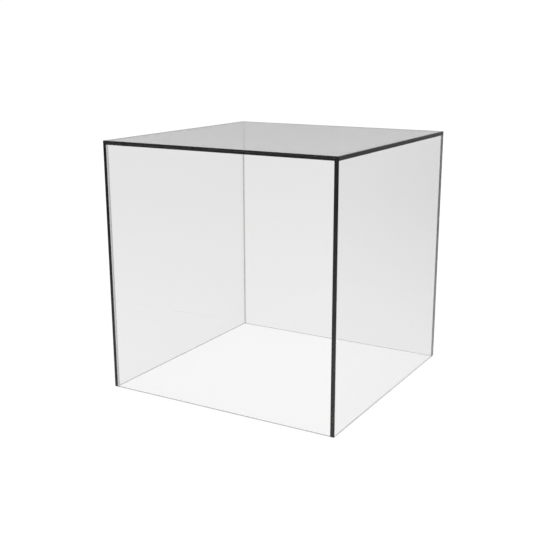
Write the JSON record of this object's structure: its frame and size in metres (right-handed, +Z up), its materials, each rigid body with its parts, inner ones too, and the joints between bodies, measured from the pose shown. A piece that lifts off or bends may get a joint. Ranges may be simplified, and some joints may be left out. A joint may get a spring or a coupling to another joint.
{
  "type": "display cube",
  "caption": "Clear acrylic cube-shaped cover of bonded flat sheets, open underneath, that stands over an exhibit to protect it and show it from all sides.",
  "frame": {"origin": "middle of the footprint, on the plane that the bottom rim rests on", "axes": "+Z up, out of the top panel; the front face looks along -Y; +X is to the right seen from the front"},
  "size_m": [0.2, 0.2, 0.2],
  "materials": {
    "acrylic_sheet": "polished",
    "acrylic_cement": "gloss"
  },
  "bodies": {
    "root": {"top_panel": "acrylic_sheet", "front_panel": "acrylic_sheet", "back_panel": "acrylic_sheet", "left_panel": "acrylic_sheet", "right_panel": "acrylic_sheet", "front_left_seam": "acrylic_cement", "front_right_seam": "acrylic_cement", "back_left_seam": "acrylic_cement", "back_right_seam": "acrylic_cement", "top_front_seam": "acrylic_cement", "top_back_seam": "acrylic_cement", "top_left_seam": "acrylic_cement", "top_right_seam": "acrylic_cement"}
  },
  "joints": []
}
